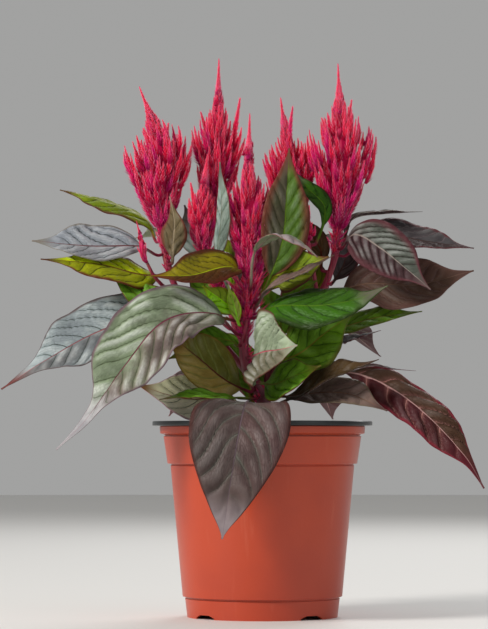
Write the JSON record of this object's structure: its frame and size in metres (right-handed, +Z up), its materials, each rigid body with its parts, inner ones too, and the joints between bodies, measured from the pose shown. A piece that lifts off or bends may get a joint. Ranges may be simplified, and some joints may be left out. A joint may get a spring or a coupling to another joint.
{
  "type": "plumed celosia in a nursery pot",
  "caption": "Potted plumed celosia: upright crimson feather plumes over broad burgundy, green and silvery leaves, in a two-tone plastic nursery pot with a stepped band.",
  "frame": {"origin": "on the surface the pot stands on, at the pot's axis, under the centre foot", "axes": "+Z up, -Y towards the viewer of the picture, +X to the viewer's right"},
  "size_m": [0.303, 0.2127, 0.36],
  "materials": {
    "terracotta_plastic": "satin",
    "potting_mix": "matte",
    "red_stem": "satin",
    "green_leaf": "satin",
    "silver_leaf": "satin",
    "lime_leaf": "satin",
    "bronze_leaf": "satin",
    "burgundy_leaf": "satin",
    "pale_leaf": "satin",
    "crimson_plume": "matte"
  },
  "bodies": {
    "root": {"pot": "terracotta_plastic", "soil": "potting_mix", "stems": "red_stem", "leaf_upper_left_green": "green_leaf", "leaf_left_silver": "silver_leaf", "leaf_left_lime": "lime_leaf", "leaf_left_green": "green_leaf", "leaf_left_bronze": "bronze_leaf", "leaf_far_left_silver": "silver_leaf", "leaf_front_left_large": "silver_leaf", "leaf_left_brown": "bronze_leaf", "leaf_low_left_pale": "pale_leaf", "leaf_low_left_narrow": "green_leaf", "leaf_front_hanging": "burgundy_leaf", "leaf_front_folded": "pale_leaf", "leaf_right_green_large": "green_leaf", "leaf_right_round": "green_leaf", "leaf_right_dark_round": "green_leaf", "leaf_right_brown_folded": "bronze_leaf", "leaf_low_right_purple": "burgundy_leaf", "leaf_right_drooping": "burgundy_leaf", "leaf_right_back_edge": "burgundy_leaf", "leaf_upper_right_edge": "bronze_leaf", "leaf_right_striped": "burgundy_leaf", "leaf_upper_right_dark": "burgundy_leaf", "leaf_right_burgundy": "burgundy_leaf", "leaf_right_green_small": "green_leaf", "leaf_right_curled": "burgundy_leaf", "leaf_centre_erect": "green_leaf", "leaf_centre_lance": "green_leaf", "leaf_left_erect_silver": "silver_leaf", "leaf_inner_lime": "lime_leaf", "leaf_centre_arched": "silver_leaf", "leaf_centre_olive": "bronze_leaf", "leaf_centre_narrow": "burgundy_leaf", "leaf_left_erect_brown": "bronze_leaf", "leaf_left_erect_pale": "pale_leaf", "leaf_inner_yellow": "lime_leaf", "leaf_inner_slim": "lime_leaf", "leaf_inner_dark": "green_leaf", "leaf_inner_shaded": "green_leaf", "leaf_back_right": "bronze_leaf", "leaf_back_middle": "green_leaf", "leaf_back_left": "silver_leaf", "leaf_back_low_left": "burgundy_leaf", "leaf_back_low_right": "burgundy_leaf", "leaf_back_upper_left": "green_leaf", "leaf_back_upper_right": "bronze_leaf", "plume_left": "crimson_plume", "plume_rear_left": "crimson_plume", "plume_inner": "crimson_plume", "plume_centre": "crimson_plume", "plume_rear_right": "crimson_plume", "plume_right": "crimson_plume", "plume_far_left": "crimson_plume", "plume_inner_right": "crimson_plume", "plume_bud": "crimson_plume"}
  },
  "joints": []
}
